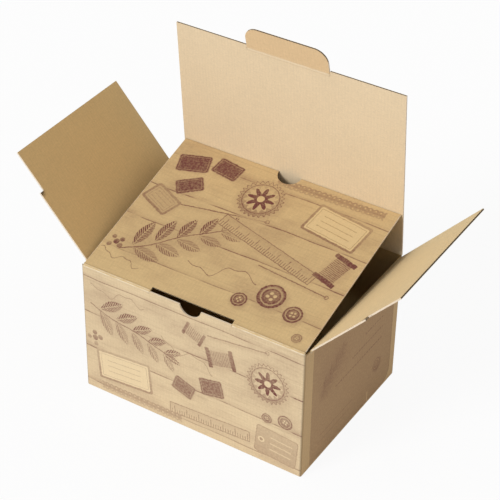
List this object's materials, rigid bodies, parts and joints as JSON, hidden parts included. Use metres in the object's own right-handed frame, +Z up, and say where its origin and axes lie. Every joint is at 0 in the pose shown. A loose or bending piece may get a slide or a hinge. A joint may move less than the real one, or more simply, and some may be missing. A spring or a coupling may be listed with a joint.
{
  "type": "corrugated mailer box",
  "caption": "Corrugated mailer box standing open: a raised lid with a rounded tuck tab, a slotted front flap folded back against it, and side flaps folded outwards.",
  "frame": {"origin": "middle of the box at the floor, under the closed bottom", "axes": "+X to the right along the front panel, +Y from the front panel to the lid's panel, +Z up"},
  "size_m": [0.4156, 0.184, 0.36],
  "materials": {
    "printed_board": "matt kraft liner, plain inside and with a one-colour brown print outside"
  },
  "bodies": {
    "box_body": {"box_body": "printed_board"},
    "front_flap": {"front_flap": "printed_board"},
    "lid": {"lid": "printed_board"},
    "tuck_tab": {"tuck_tab": "printed_board"},
    "right_flap": {"right_flap": "printed_board"},
    "left_flap": {"left_flap": "printed_board"}
  },
  "joints": [
    {"name": "front_flap_crease", "type": "hinge", "parent": "box_body", "child": "front_flap", "pos_m": [0, -0.0912, 0.15], "axis": [1, 0, 0], "range_deg": [0, 189]},
    {"name": "lid_crease", "type": "hinge", "parent": "box_body", "child": "lid", "pos_m": [0, 0.0912, 0.1516], "axis": [-1, 0, 0], "range_deg": [0, 120]},
    {"name": "tuck_tab_crease", "type": "hinge", "parent": "lid", "child": "tuck_tab", "pos_m": [0, 0.07461, 0.33395], "axis": [1, 0, 0], "range_deg": [-30, 80]},
    {"name": "right_flap_crease", "type": "hinge", "parent": "box_body", "child": "right_flap", "pos_m": [0.1242, 0, 0.148], "axis": [0, 1, 0], "range_deg": [-39, 73]},
    {"name": "left_flap_crease", "type": "hinge", "parent": "box_body", "child": "left_flap", "pos_m": [-0.1242, 0, 0.148], "axis": [0, -1, 0], "range_deg": [-39, 73]}
  ]
}
